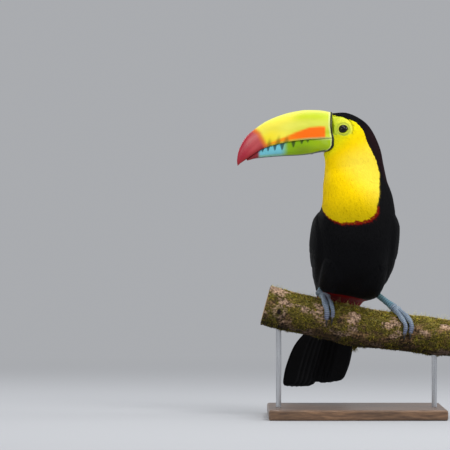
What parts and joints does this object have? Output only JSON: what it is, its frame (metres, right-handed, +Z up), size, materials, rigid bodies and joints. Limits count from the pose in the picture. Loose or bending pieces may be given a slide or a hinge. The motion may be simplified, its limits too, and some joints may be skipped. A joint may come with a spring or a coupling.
{
  "type": "keel-billed toucan",
  "caption": "Life-size still model of a keel-billed toucan perched on a short cut length of mossy branch, held by a plain display stand.",
  "frame": {"origin": "on the underside of the stand's base, straight below the middle of the perch", "axes": "+Z up; the breast faces -Y; the perch runs along X and the bill points towards -X"},
  "size_m": [0.2895, 0.2387, 0.4102],
  "materials": {
    "plumage_black": "soft black feathers with a dark maroon sheen on the nape",
    "plumage_yellow": "soft yellow feathers",
    "bill": "smooth horn: green and yellow with an orange stripe, a light blue patch and a dark red tip",
    "eye": "wet, very glossy, dark olive brown",
    "leg_skin": "scaly blue-grey skin",
    "claw": "satin dark horn",
    "bark": "rough bark with moss and pale lichen",
    "stand_wood": "satin stained hardwood",
    "stand_steel": "satin steel rod"
  },
  "bodies": {
    "root": {"bill_lower": "bill", "bill_upper": "bill", "claw_back_inner_left": "claw", "claw_back_inner_right": "claw", "claw_back_outer_left": "claw", "claw_back_outer_right": "claw", "claw_front_inner_left": "claw", "claw_front_inner_right": "claw", "claw_front_outer_left": "claw", "claw_front_outer_right": "claw", "eye_left": "eye", "eye_right": "eye", "head": "plumage_yellow", "neck": "plumage_yellow", "perch": "bark", "stand_base": "stand_wood", "stand_rod_left": "stand_steel", "stand_rod_right": "stand_steel", "tail": "plumage_black", "tail_coverts": "plumage_black", "tarsus_left": "leg_skin", "tarsus_right": "leg_skin", "thigh_left": "plumage_black", "thigh_right": "plumage_black", "toe_back_inner_left": "leg_skin", "toe_back_inner_right": "leg_skin", "toe_back_outer_left": "leg_skin", "toe_back_outer_right": "leg_skin", "toe_front_inner_left": "leg_skin", "toe_front_inner_right": "leg_skin", "toe_front_outer_left": "leg_skin", "toe_front_outer_right": "leg_skin", "trunk": "plumage_black", "wing_left": "plumage_black", "wing_right": "plumage_black"}
  },
  "joints": []
}
